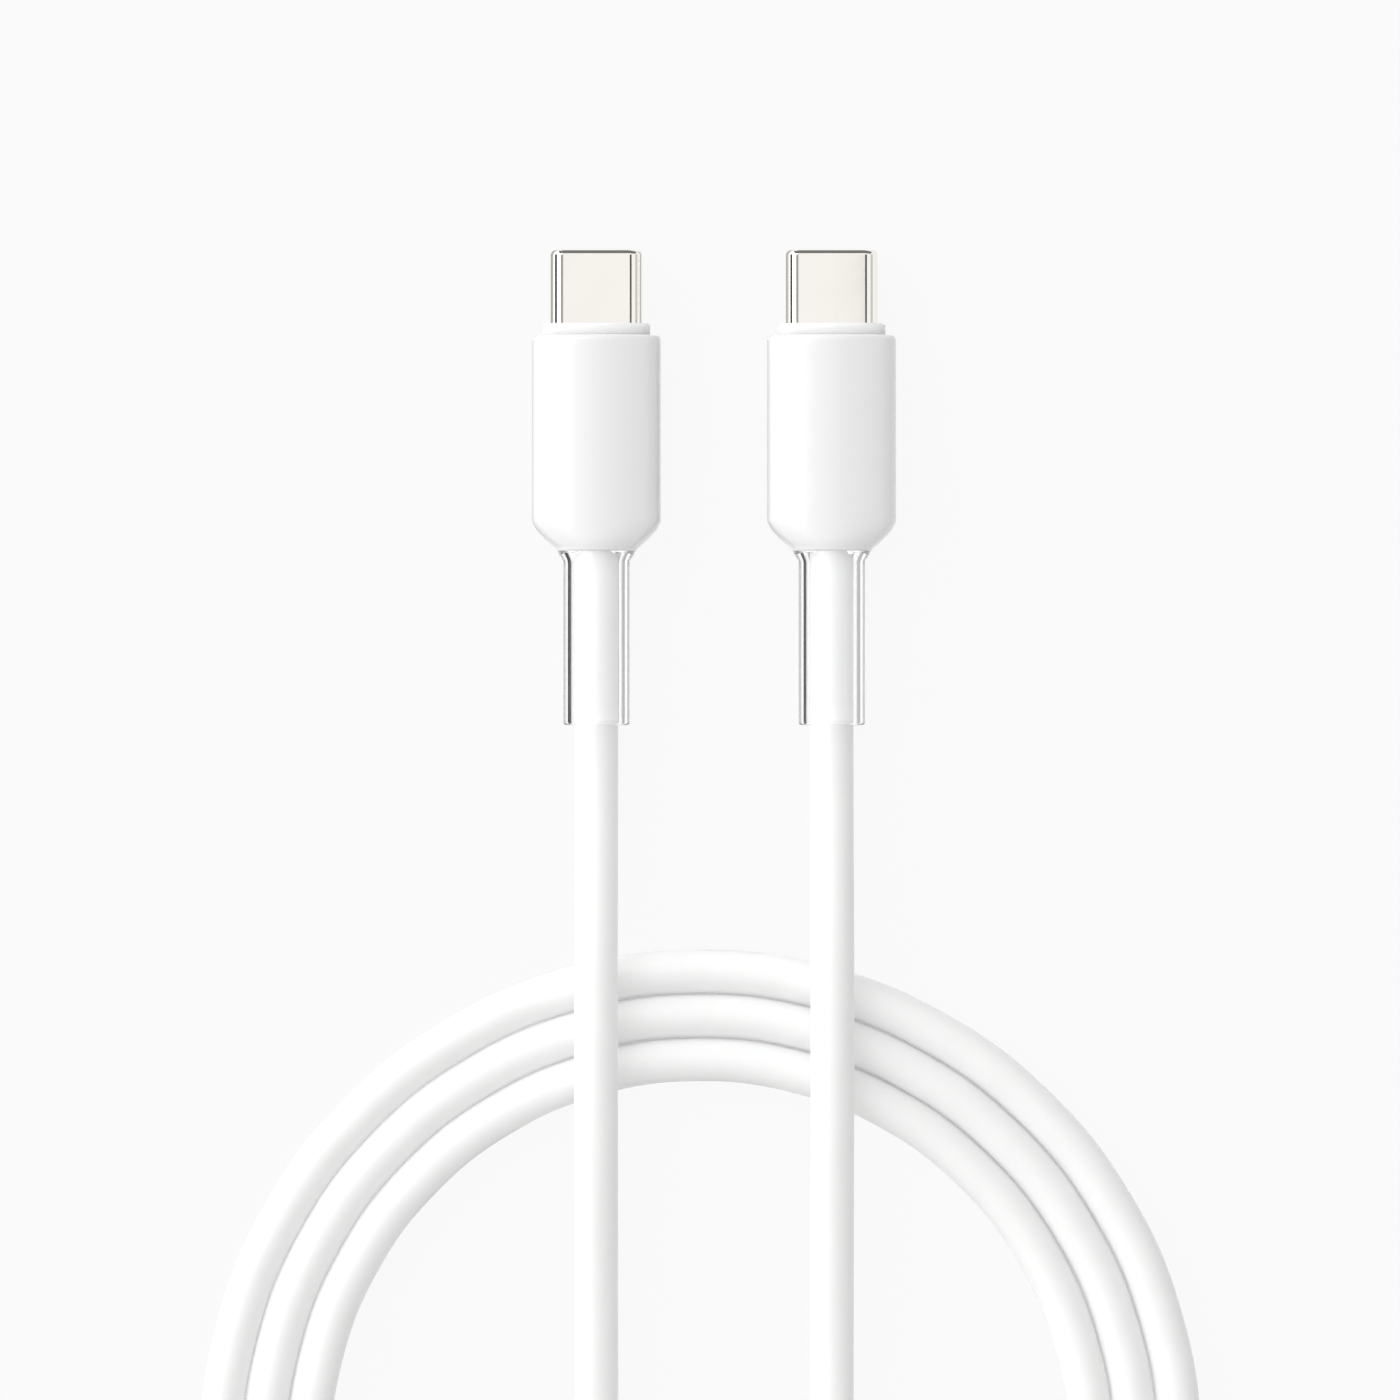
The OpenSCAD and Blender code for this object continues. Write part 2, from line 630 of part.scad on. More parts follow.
module at_plug(side) translate([side * plug_spacing / 2, plug_datum_y, plug_axis_z]) children();

for (plug = PLUGS) at_plug(plug[1]) {
    name = plug[0];
    shell();
    insulator();
    contacts_upper();
    contacts_lower();
    latch_plate();
    spring_upper();
    spring_lower();
    collar();
    housing();
    can_upper();
    can_lower();
    core();
    paddle_card();
    capacitor();
    crimp_ring();
    jacket();
    wire_power();
    wire_ground();
    wire_data_plus();
    wire_data_minus();
    wire_control();
    sleeve();
}
cord_run_a();
cord_coil();
cord_run_b();
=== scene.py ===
"""A white charging cable with a steel plug at each end. Its spare length lies in a flat ring."""

import math
import bpy
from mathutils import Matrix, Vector


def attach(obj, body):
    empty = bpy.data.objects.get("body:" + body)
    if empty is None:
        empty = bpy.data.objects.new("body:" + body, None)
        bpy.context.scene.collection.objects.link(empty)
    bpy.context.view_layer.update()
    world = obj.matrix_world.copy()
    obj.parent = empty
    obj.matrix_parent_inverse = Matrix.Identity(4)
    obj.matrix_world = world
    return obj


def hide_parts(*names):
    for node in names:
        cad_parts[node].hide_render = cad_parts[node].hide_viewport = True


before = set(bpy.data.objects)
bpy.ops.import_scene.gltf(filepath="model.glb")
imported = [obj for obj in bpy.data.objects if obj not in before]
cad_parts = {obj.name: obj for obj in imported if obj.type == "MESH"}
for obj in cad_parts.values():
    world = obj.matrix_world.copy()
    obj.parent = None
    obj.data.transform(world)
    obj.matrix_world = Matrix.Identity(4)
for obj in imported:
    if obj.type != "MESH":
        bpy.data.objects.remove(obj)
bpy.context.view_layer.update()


# ---- Camera ----
# It stands straight above the plugs, with their tips towards the top of the picture.
VIEW_MIDDLE = (-0.00126, -0.01897)
CAMERA_HEIGHT = 0.6032
SENSOR_MM = 36
LENS_MM = 172.8
bpy.ops.object.camera_add(location=(*VIEW_MIDDLE, CAMERA_HEIGHT), rotation=(0, 0, 0))
camera = bpy.context.object
camera.data.sensor_width = SENSOR_MM
camera.data.lens = LENS_MM
camera.data.clip_start = 0.01
bpy.context.scene.camera = camera
bpy.context.scene.view_settings.view_transform = "Standard"


# ---- Cord ----
# A round cord of smooth, slightly soft white jacket over the wires. It comes out of one plug's
# sleeve, runs over the ring, goes two and a half times round it and back to the other plug.
CORD_D = 0.0039
# Height of the cord's middle where it lies on the table
LYING = 0.00198
# Points of the two runs: from plug A to the inside of the ring, and from its outside to plug B
run_a = [
    (-0.0105, -0.0208, 0.0032), (-0.0105, -0.025, 0.0034), (-0.0105, -0.03, 0.0041),
    (-0.0105, -0.035, 0.0051), (-0.0105, -0.04, 0.0059), (-0.0105, -0.044, 0.0062),
    (-0.0105, -0.049, 0.0063), (-0.0105, -0.053, 0.0062), (-0.0105, -0.058, 0.0058),
    (-0.0105, -0.064, 0.005), (-0.0105, -0.07, 0.0041), (-0.0105, -0.077, 0.0032),
    (-0.0105, -0.085, 0.0025), (-0.0105, -0.094, 0.0021), (-0.0104, -0.1035, LYING),
    (-0.0095, -0.1081, LYING), (-0.0062, -0.1136, LYING), (-0.0011, -0.1174, LYING),
    (0.005, -0.1191, LYING), (0.0114, -0.1183, LYING),
]
run_b = [
    (-0.0416, -0.1007, 0.0024), (-0.0386, -0.1076, 0.0031), (-0.0343, -0.1138, 0.0041),
    (-0.0289, -0.119, 0.0051), (-0.0226, -0.1232, 0.0058), (-0.0167, -0.1259, 0.0062),
    (-0.0112, -0.1271, 0.00625), (-0.006, -0.1269, 0.00625), (-0.001, -0.1253, 0.00625),
    (0.0034, -0.1225, 0.00625), (0.0069, -0.1187, 0.00625), (0.0093, -0.114, 0.00625),
    (0.0104, -0.1089, 0.0062), (0.0105, -0.103, 0.0057), (0.0105, -0.097, 0.005),
    (0.0105, -0.091, 0.0044), (0.0105, -0.085, 0.0041), (0.0105, -0.077, 0.0041),
    (0.0105, -0.07, 0.0046), (0.0105, -0.064, 0.0052), (0.0105, -0.058, 0.0059),
    (0.0105, -0.053, 0.0062), (0.0105, -0.049, 0.0063), (0.0105, -0.044, 0.0062),
    (0.0105, -0.04, 0.0059), (0.0105, -0.035, 0.0051), (0.0105, -0.03, 0.0041),
    (0.0105, -0.025, 0.0034), (0.0105, -0.0208, 0.0032),
]

# Each turn lies beside the last: it steps out from STEP_FROM on, over STEP_TURN degrees
RING_X = -0.0012
RING_Y = -0.0861
INNER_R = 0.03498
TURN_STEP = 0.00393
STEP_FROM = 190
STEP_TURN = 110
# The first run joins the ring at this angle, and a little further in
JOIN_ANGLE = -44
JOIN_IN = 0.0009
POINT_TURN = 15
RING_POINTS = 64


def ring_point(turn_angle):
    """Point of the ring at an angle in degrees, counted on from turn to turn."""
    whole = math.floor(turn_angle / 360)
    part = min(max((turn_angle - 360 * whole - STEP_FROM) / STEP_TURN, 0), 1)
    turns_out = 0 if turn_angle < STEP_FROM else whole + part * part * (3 - 2 * part)
    radius = INNER_R + TURN_STEP * turns_out
    if turn_angle < 0:
        radius -= JOIN_IN * (turn_angle / JOIN_ANGLE) ** 2
    angle = math.radians(turn_angle)
    return Vector((RING_X + radius * math.cos(angle), RING_Y + radius * math.sin(angle), LYING))


route = run_a + [ring_point(JOIN_ANGLE + POINT_TURN * i) for i in range(RING_POINTS)] + run_b

cord_line = bpy.data.curves.new("cord", "CURVE")
cord_line.dimensions = "3D"
cord_line.resolution_u = 8
cord_line.bevel_depth = CORD_D / 2
cord_line.bevel_resolution = 12
cord_line.use_fill_caps = True
cord_spline = cord_line.splines.new("BEZIER")
cord_spline.bezier_points.add(len(route) - 1)
for bezier_point, place in zip(cord_spline.bezier_points, route):
    bezier_point.co = place
    bezier_point.handle_left_type = bezier_point.handle_right_type = "AUTO"
cord = bpy.data.objects.new("cord", cord_line)
bpy.context.scene.collection.objects.link(cord)
bpy.context.view_layer.update()
# Where the cord comes down to the table its handles stay level, so that it doesn't dip into it
for bezier_point in cord_spline.bezier_points:
    bezier_point.handle_left_type = bezier_point.handle_right_type = "FREE"
    bezier_point.handle_left.z = max(bezier_point.handle_left.z, LYING)
    bezier_point.handle_right.z = max(bezier_point.handle_right.z, LYING)


def new_material(name, **sockets):
    """A material and its Principled shader, with the shader's own sockets set."""
    material = bpy.data.materials.new(name)
    material.use_nodes = True
    shader = material.node_tree.nodes["Principled BSDF"]
    for socket, value in sockets.items():
        shader.inputs[socket.replace("_", " ")].default_value = value
    return material, shader


def speckle(shader, scale, detail):
    """Noise that sits still on the piece, on its Object coordinates."""
    nodes = shader.id_data.nodes
    place = nodes.new("ShaderNodeTexCoord")
    noise = nodes.new("ShaderNodeTexNoise")
    noise.inputs["Scale"].default_value = scale
    noise.inputs["Detail"].default_value = detail
    shader.id_data.links.new(place.outputs["Object"], noise.inputs["Vector"])
    return noise.outputs["Fac"]


def tint(shader, scale, dark, light, detail=3):
    """Colour that wanders between two near shades, in speckles of this scale."""
    links = shader.id_data.links
    ramp = shader.id_data.nodes.new("ShaderNodeValToRGB")
    for stop, position, shade in zip(ramp.color_ramp.elements, (0.3, 0.7), (dark, light)):
        stop.position = position
        stop.color = (*shade, 1)
    links.new(speckle(shader, scale, detail), ramp.inputs["Fac"])
    links.new(ramp.outputs["Color"], shader.inputs["Base Color"])


def roughen(shader, scale, low, high, detail=3):
    """Roughness that wanders between two values, in speckles of this scale."""
    links = shader.id_data.links
    span = shader.id_data.nodes.new("ShaderNodeMapRange")
    span.inputs["To Min"].default_value = low
    span.inputs["To Max"].default_value = high
    links.new(speckle(shader, scale, detail), span.inputs["Value"])
    links.new(span.outputs["Result"], shader.inputs["Roughness"])


def relief(shader, scale, height, strength):
    """Fine bump, height metres deep, in speckles of this scale."""
    links = shader.id_data.links
    bump = shader.id_data.nodes.new("ShaderNodeBump")
    bump.inputs["Strength"].default_value = strength
    bump.inputs["Distance"].default_value = height
    links.new(speckle(shader, scale, 2), bump.inputs["Height"])
    links.new(bump.outputs["Normal"], shader.inputs["Normal"])


def calculate(nodes, operation, *values):
    """What a Math node makes of numbers and other nodes' outputs."""
    step = nodes.new("ShaderNodeMath")
    step.operation = operation
    for socket, value in zip(step.inputs, values):
        if isinstance(value, (int, float)):
            socket.default_value = value
        else:
            nodes.id_data.links.new(value, socket)
    return step.outputs["Value"]


def blended(nodes, share, first, second):
    """Two shaders in one: share of the second, and the rest of the first."""
    pick = nodes.new("ShaderNodeMixShader")
    for socket, source in zip(pick.inputs, (share, first, second)):
        nodes.id_data.links.new(source, socket)
    return pick.outputs["Shader"]


def show_as(nodes, surface):
    """Let the material show this shader."""
    nodes.id_data.links.new(surface, nodes["Material Output"].inputs["Surface"])


def firm_end(shader, towards, full):
    """Let no light soak through the joint where the cord and its held end meet."""
    nodes, links = shader.id_data.nodes, shader.id_data.links
    place = nodes.new("ShaderNodeTexCoord")
    axes = nodes.new("ShaderNodeSeparateXYZ")
    soak = nodes.new("ShaderNodeMapRange")
    soak.inputs["From Min"].default_value = run_a[0][1]
    soak.inputs["From Max"].default_value = run_a[0][1] + towards
    soak.inputs["To Max"].default_value = full
    links.new(place.outputs["Object"], axes.inputs["Vector"])
    links.new(axes.outputs["Y"], soak.inputs["Value"])
    links.new(soak.outputs["Result"], shader.inputs["Subsurface Weight"])


def soft_shadow(shader, share):
    """Let a share of the light through pale plastic, so that it throws no hard shadow."""
    nodes = shader.id_data.nodes
    path = nodes.new("ShaderNodeLightPath")
    see_through = nodes.new("ShaderNodeBsdfTransparent")
    passed = calculate(nodes, "MULTIPLY", path.outputs["Is Shadow Ray"], share)
    show_as(nodes, blended(nodes, passed, shader.outputs["BSDF"], see_through.outputs["BSDF"]))


SOAK_LENGTH = 0.0015
jacket_white, shader = new_material(
    "jacket_white", Specular_IOR_Level=0.4, Subsurface_Weight=1, Subsurface_Scale=0.0013,
    Subsurface_Radius=(1, 0.97, 0.94),
)
tint(shader, 260, (0.885, 0.885, 0.883), (0.9, 0.9, 0.898))
roughen(shader, 900, 0.4, 0.5)
relief(shader, 5200, height=0.00001, strength=0.35)
firm_end(shader, -SOAK_LENGTH, full=1)
soft_shadow(shader, share=0.75)
cord.data.materials.append(jacket_white)
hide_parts("cord_run_a", "cord_coil", "cord_run_b")
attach(cord, "root")


# ---- Cord ends in the sleeves ----
# The last stretch of the same cord at each plug, held by the sleeve's bore and run on into the
# body, where the wires leave it. A tube of the cord's own diameter, in a copy of its jacket painted
# lighter.
PLUG_A = Vector((-0.0105, 0, 0.0032))
PLUG_B = Vector((0.0105, 0, 0.0032))
PLUGS = ("plug_a_", "plug_b_")
MERGED = 0.000002
JACKET_BORE_R = 0.00123
JACKET_FRONT = -0.00205
JACKET_EDGE = 0.0001


def start_ring(name, y, radius, count):
    """A new piece, as one open ring round the axis of plug A, left in edit mode."""
    bpy.ops.object.select_all(action="DESELECT")
    bpy.ops.mesh.primitive_circle_add(
        vertices=count, radius=radius, location=(PLUG_A.x, y, PLUG_A.z),
        rotation=(math.pi / 2, 0, 0),
    )
    piece = bpy.context.object
    piece.name = name
    bpy.ops.object.transform_apply(location=True, rotation=True, scale=True)
    bpy.ops.object.mode_set(mode="EDIT")
    bpy.ops.mesh.select_mode(type="VERT")
    bpy.ops.mesh.select_all(action="SELECT")
    return piece


def next_ring(step, wide=1, high=1):
    """Draw the picked ring out by step along the plug, and make it wider and higher."""
    bpy.ops.mesh.extrude_region_move(TRANSFORM_OT_translate={"value": (0, step, 0)})
    if wide != 1 or high != 1:
        bpy.ops.transform.resize(value=(wide, 1, high), center_override=PLUG_A)


def close_up(angle=35, bridged=False):
    """Close the piece, turn its faces out and smooth its shading, but for edges over the angle."""
    bpy.ops.mesh.select_all(action="SELECT")
    bpy.ops.mesh.remove_doubles(threshold=MERGED)
    if bridged:
        bpy.ops.mesh.select_all(action="DESELECT")
        bpy.ops.mesh.select_non_manifold()
        bpy.ops.mesh.bridge_edge_loops()
        bpy.ops.mesh.select_all(action="SELECT")
    bpy.ops.mesh.normals_make_consistent(inside=False)
    bpy.ops.object.mode_set(mode="OBJECT")
    bpy.ops.object.shade_smooth_by_angle(angle=math.radians(angle))


def turned_ring(name, profile, count):
    """A closed piece turned from a profile of (y, radius) points that ends where it starts."""
    piece = start_ring(name, profile[0][0], profile[0][1], count)
    for (y, radius), (next_y, next_radius) in zip(profile, profile[1:] + profile[:1]):
        next_ring(next_y - y, next_radius / radius, next_radius / radius)
    close_up()
    return piece


def both_plugs(piece, material, node):
    """Finish a piece on plug A, and copy it with its own mesh to plug B."""
    piece.data.materials.append(material)
    bpy.ops.object.select_all(action="DESELECT")
    piece.select_set(True)
    bpy.context.view_layer.objects.active = piece
    bpy.ops.object.duplicate(linked=False)
    twin = bpy.context.object
    bpy.ops.transform.translate(value=PLUG_B - PLUG_A)
    bpy.ops.object.transform_apply(location=True, rotation=True, scale=True)
    for made, plug in zip((piece, twin), PLUGS):
        made.name = "new_" + plug + node
        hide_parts(plug + node)
        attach(made, "root")


jacket_in = turned_ring("jacket", [
    (run_a[0][1], CORD_D / 2), (run_a[0][1], JACKET_BORE_R), (JACKET_FRONT, JACKET_BORE_R),
    (JACKET_FRONT, CORD_D / 2 - JACKET_EDGE), (JACKET_FRONT - JACKET_EDGE, CORD_D / 2),
], count=32)

# Its colour is painted lighter than the cord's jacket: painted light for what the sleeve gathers
# on it. The soft jacket spreads that light round
jacket_painted_lighter, shader = new_material(
    "jacket_painted_lighter", Roughness=0.5, Specular_IOR_Level=0.6, Subsurface_Scale=0.0009,
    Subsurface_Radius=(1, 0.98, 0.96), Sheen_Weight=0.6, Sheen_Roughness=0.4,
)
tint(shader, 260, (0.965, 0.965, 0.962), (0.98, 0.98, 0.977))
firm_end(shader, SOAK_LENGTH, full=0.6)
both_plugs(jacket_in, jacket_painted_lighter, "jacket")


# ---- Clear sleeves ----
# A plain tube of clear, slightly soft plastic round the cord, which stops it from bending hard.
# It flares where it meets the body, and a spigot holds it in the body's rear wall.
SLEEVE_END = -0.0212
SLEEVE_FRONT = -0.0057
SPIGOT_FRONT = -0.00415
SLEEVE_R = 0.00297
BORE_R = 0.00231
FLARE_R = 0.00345
SEAT_R = 0.00265
SLEEVE_EDGE = 0.00022
CLEAR_IOR = 1.47
NEAR = 0.00001

# From the edge of the open end along the outside to the spigot, and back along the bore
sleeve = turned_ring("sleeve", [
    (SLEEVE_END, BORE_R + 0.00008), (SLEEVE_END, SLEEVE_R - SLEEVE_EDGE),
    (SLEEVE_END + 0.00003, SLEEVE_R - SLEEVE_EDGE / 2),
    (SLEEVE_END + SLEEVE_EDGE / 2, SLEEVE_R - 0.00003),
    (SLEEVE_END + SLEEVE_EDGE, SLEEVE_R), (SLEEVE_END + 0.0004, SLEEVE_R),
    (SLEEVE_FRONT - 0.0013, SLEEVE_R), (SLEEVE_FRONT - 0.001, SLEEVE_R + 0.00001),
    (SLEEVE_FRONT - 0.0008, SLEEVE_R + 0.00005), (SLEEVE_FRONT - 0.00015, FLARE_R - 0.00004),
    (SLEEVE_FRONT, FLARE_R), (SLEEVE_FRONT, SEAT_R), (SPIGOT_FRONT, SEAT_R),
    (SPIGOT_FRONT, BORE_R), (SLEEVE_FRONT + 0.0003, BORE_R), (SLEEVE_FRONT, BORE_R + 0.0003),
    (SLEEVE_FRONT - 0.00065, BORE_R + 0.00005), (SLEEVE_FRONT - 0.0009, BORE_R),
    (SLEEVE_FRONT - 0.0012, BORE_R), (SLEEVE_END + 0.0003, BORE_R),
    (SLEEVE_END + 0.00012, BORE_R), (SLEEVE_END + 0.00003, BORE_R + 0.00004),
], count=96)
# The flare is flat above and below, level with the tube, so that the plug lies flat
for vertex in sleeve.data.vertices:
    rise = vertex.co.z - PLUG_A.z
    vertex.co.z = PLUG_A.z + min(max(rise, -SLEEVE_R), SLEEVE_R)
bpy.ops.object.shade_smooth_by_angle(angle=math.radians(35))

clear_plastic, shader = new_material("clear_plastic", IOR=CLEAR_IOR, Transmission_Weight=1)
roughen(shader, 300, 0.02, 0.04)
# The wall's colour is painted darker where it is seen more edge on, a painted shade for the dark
# lines a clear tube shows there, and left clear at its rim
nodes, links = shader.id_data.nodes, shader.id_data.links
edge_on = nodes.new("ShaderNodeLayerWeight")
edge_on.inputs["Blend"].default_value = 0.5
painted_edge_shade = nodes.new("ShaderNodeValToRGB")
stops = painted_edge_shade.color_ramp.elements
stops[0].position = 0.36
stops[0].color = (1, 1, 1, 1)
for position, shade in ((0.42, 0.74), (0.62, 0.7), (0.85, 0.62)):
    stops.new(position).color = (shade, shade, shade, 1)
links.new(edge_on.outputs["Facing"], painted_edge_shade.inputs["Fac"])
links.new(painted_edge_shade.outputs["Color"], shader.inputs["Base Color"])
# What lies in the tube is lit through it
path = nodes.new("ShaderNodeLightPath")
see_through = nodes.new("ShaderNodeBsdfTransparent")
surface = shader.outputs["BSDF"]
for ray in ("Is Diffuse Ray", "Is Shadow Ray"):
    surface = blended(nodes, path.outputs[ray], surface, see_through.outputs["BSDF"])
show_as(nodes, surface)
both_plugs(sleeve, clear_plastic, "sleeve")

# The cut end is frosted, and scatters the light that comes down the wall
frosted_end, shader = new_material("frosted_end", IOR=CLEAR_IOR, Transmission_Weight=0.4)
tint(shader, 900, (0.8, 0.8, 0.8), (0.86, 0.86, 0.86))
roughen(shader, 2000, 0.45, 0.6)
soft_shadow(shader, share=1)
for plug in PLUGS:
    tube = bpy.data.objects["new_" + plug + "sleeve"].data
    tube.materials.append(frosted_end)
    for face in tube.polygons:
        if face.center.y < SLEEVE_END + NEAR:
            face.material_index = 1


# ---- Moulded bodies ----
# One glossy white moulding of ABS at each plug, of a flat oval section with a rounded front edge
# and a sloping shoulder. It is open at the front for the collar and holed behind for the sleeve.
BODY_W = 0.0115
BODY_T = 0.0064
SIDE_R = 0.0026
BODY_FRONT = 0.01356
BODY_BACK = SLEEVE_FRONT
SHOULDER = 0.0028
SHOULDER_STEPS = 14
# The lower, the sooner the shoulder draws in: from the sides, and from above and below
SIDES_CURVE = 1.55
CROWN_CURVE = 5
REAR_W = 0.0073
REAR_T = 0.0059
FRONT_EDGE = 0.00032
FRONT_EDGE_LEN = 0.0005
REAR_EDGE = 0.00026
# The collar's size, and the seat for it: how far the body's face steps down and in, and the gap
COLLAR_W = 0.0096
COLLAR_T = 0.0045
LIP_DEPTH = 0.0008
LIP_INSET = 0.0011
SEAM_GAP = 0.00006
SEAM_EDGE = 0.00008
SEAM_EDGE_LEN = 0.00004
# The hole in the rear wall, and how it widens into the hollow of the body
HOLE_FIT = 0.0001
REAR_WALL = 0.0016
HOLLOW_START = (1.15, 0.78)
HOLLOW_RAMP = 0.0014
HOLLOW_SPREAD = (1.6, 1.02)
side_x = BODY_W / 2 - SIDE_R
crown_r = (side_x**2 + BODY_T**2 / 4 - SIDE_R**2) / (BODY_T - 2 * SIDE_R)
lean = math.asin(side_x / (crown_r - SIDE_R))
# Faces on each round side, and on each of the two slightly curved crowns
SIDE_FACES = 16
CROWN_FACES = 24


def oval_ring(name, y, inset):
    """A new piece, as one ring of the body's section set in by inset: four arcs, each spun on."""
    bpy.ops.object.select_all(action="DESELECT")
    bpy.ops.mesh.primitive_circle_add(vertices=3, radius=0.001)
    bpy.context.object.name = name
    side = SIDE_R - inset
    bpy.ops.object.mode_set(mode="EDIT")
    bpy.ops.mesh.select_mode(type="VERT")
    bpy.ops.mesh.select_all(action="SELECT")
    # Merged into one point, from which the arcs are spun
    bpy.ops.mesh.merge(type="CENTER")
    low = lean - math.pi / 2
    bpy.ops.transform.translate(
        value=(PLUG_A.x + side_x + side * math.cos(low), y, PLUG_A.z + side * math.sin(low))
    )
    drop = crown_r - BODY_T / 2
    for centre_x, centre_z, turn, steps in (
        (side_x, 0, math.pi - 2 * lean, SIDE_FACES), (0, -drop, 2 * lean, CROWN_FACES),
        (-side_x, 0, math.pi - 2 * lean, SIDE_FACES), (0, drop, 2 * lean, CROWN_FACES),
    ):
        bpy.ops.mesh.spin(
            steps=steps, angle=turn, center=(PLUG_A.x + centre_x, y, PLUG_A.z + centre_z),
            axis=(0, 1, 0),
        )
    bpy.ops.mesh.select_all(action="SELECT")
    bpy.ops.mesh.remove_doubles(threshold=MERGED)
    return bpy.context.object


def draw_through(rings, last):
    """Draw the picked ring on through rings of (y, width, thickness), and give the last of them."""
    for ring in rings:
        next_ring(ring[0] - last[0], ring[1] / last[1], ring[2] / last[2])
        last = ring
    return last


def rounded_edge(y, wide, high, radius, length, turns):
    """Rings that round an edge off from y: at each turn, in degrees, further along and in."""
    rings = []
    for turn in turns:
        q = math.radians(turn)
        set_in = radius * (1 - math.cos(q))
        rings.append((y + length * math.sin(q), wide - 2 * set_in, high - 2 * set_in))
    return rings


def shoulder(q):
    """Width and thickness on the shoulder, from 0 where it starts to 1 at the rear face."""
    wide = REAR_W + (BODY_W - REAR_W) * (1 - q**SIDES_CURVE)
    high = REAR_T + (BODY_T - REAR_T) * (1 - q**CROWN_CURVE)
    return wide, high


# From the lip inside the front edge, round that edge and back over the shoulder to the hole
lip = BODY_FRONT - LIP_DEPTH
seam_w = COLLAR_W + SEAM_GAP
seam_t = COLLAR_T + SEAM_GAP
shoulder_start = BODY_BACK + SHOULDER
rings = [
    (lip, seam_w, seam_t), (BODY_FRONT - SEAM_EDGE_LEN, seam_w, seam_t),
    (BODY_FRONT, seam_w + SEAM_EDGE, seam_t + SEAM_EDGE),
]
rings += rounded_edge(
    BODY_FRONT - FRONT_EDGE_LEN, BODY_W, BODY_T, FRONT_EDGE, FRONT_EDGE_LEN, range(90, -1, -15)
)
rings += [(y, BODY_W, BODY_T) for y in (0.012, 0.008, 0.004, 0, shoulder_start + 0.0006)]
for i in range(SHOULDER_STEPS + 1):
    q = i / SHOULDER_STEPS
    rings.append((shoulder_start - (SHOULDER - REAR_EDGE) * q, *shoulder(q)))
rings += rounded_edge(
    BODY_BACK + REAR_EDGE, REAR_W, REAR_T, REAR_EDGE, -REAR_EDGE, range(18, 91, 18)
)

housing = oval_ring("housing", lip, LIP_INSET)
_, wide, high = draw_through(rings, (lip, BODY_W - 2 * LIP_INSET, BODY_T - 2 * LIP_INSET))
hole = 2 * SEAT_R + HOLE_FIT
next_ring(0, hole / wide, hole / high)
bpy.ops.transform.tosphere(value=1)
next_ring(REAR_WALL)
next_ring(0, *HOLLOW_START)
next_ring(HOLLOW_RAMP, *HOLLOW_SPREAD)
close_up(angle=40, bridged=True)

gloss_white, shader = new_material(
    "gloss_white", Specular_IOR_Level=0.5, Coat_Weight=0.25, Coat_Roughness=0.12
)
tint(shader, 120, (0.836, 0.836, 0.836), (0.839, 0.839, 0.838), detail=1)
roughen(shader, 400, 0.266, 0.274, detail=1)
soft_shadow(shader, share=0.85)
both_plugs(housing, gloss_white, "housing")


# ---- Collars ----
# A stepped ring of the same white plastic between the steel shell and the body. Its spigot closes
# the front of the body, and the shell comes out through it.
COLLAR_BACK = 0.0125
COLLAR_FRONT = 0.01462
COLLAR_EDGE = 0.00022
SHELL_HOLE_W = 0.00833
SHELL_HOLE_T = 0.00248
# The rear edge of the spigot, and the fine groove just in front of the body
SPIGOT_EDGE = 0.0003
SPIGOT_EDGE_LEN = 0.0001
GROOVE_DEPTH = 0.00005
GROOVE_LEN = 0.0001

spigot_w = COLLAR_W - 2 * GROOVE_DEPTH
spigot_t = COLLAR_T - 2 * GROOVE_DEPTH
groove_end = BODY_FRONT + GROOVE_LEN
collar_rings = [
    (COLLAR_BACK + SPIGOT_EDGE_LEN, spigot_w, spigot_t),
    (groove_end - 0.00002, spigot_w, spigot_t), (groove_end + 0.00004, COLLAR_W, COLLAR_T),
]
collar_rings += rounded_edge(
    COLLAR_FRONT - COLLAR_EDGE, COLLAR_W, COLLAR_T, COLLAR_EDGE, COLLAR_EDGE, range(0, 91, 18)
)
collar_rings += [(y, SHELL_HOLE_W, SHELL_HOLE_T) for y in (COLLAR_FRONT, COLLAR_BACK)]

# It starts as a ring of the body's own section, set in as far as the collar is
collar_inset = (BODY_W - COLLAR_W) / 2 + SPIGOT_EDGE
collar = oval_ring("collar", COLLAR_BACK, collar_inset)
draw_through(collar_rings, (COLLAR_BACK, BODY_W - 2 * collar_inset, BODY_T - 2 * collar_inset))
close_up(angle=40, bridged=True)

# The plastic's own white, painted lighter than the body's: painted light that lifts the shade
# beside the body's taller front
satin_white_painted_lighter, shader = new_material(
    "satin_white_painted_lighter", Specular_IOR_Level=0.6, Subsurface_Weight=1, Subsurface_Scale=0.0015,
    Subsurface_Radius=(1, 0.98, 0.96), Sheen_Weight=0.3, Sheen_Roughness=0.5,
)
tint(shader, 220, (0.925, 0.925, 0.923), (0.94, 0.94, 0.938))
roughen(shader, 900, 0.4, 0.5)
relief(shader, 3200, height=0.000008, strength=0.25)
both_plugs(collar, satin_white_painted_lighter, "collar")


# ---- Steel shells ----
# A seamless shell of drawn stainless steel, 0.28 mm thick, with its mouth drawn in a little. It
# is pressed over the contact housing and held in the collar and the body.
SHELL_W = 0.00825
SHELL_T = 0.0024
SHELL_WALL = 0.00028
SHELL_ROOT = 0.0084
SHELL_TIP = 0.0212
MOUTH_R = 0.0006
MOUTH_TURN = 55
MOUTH_STEPS = 7
RIM_EDGE = 0.00006
FLAT_CUTS = 30

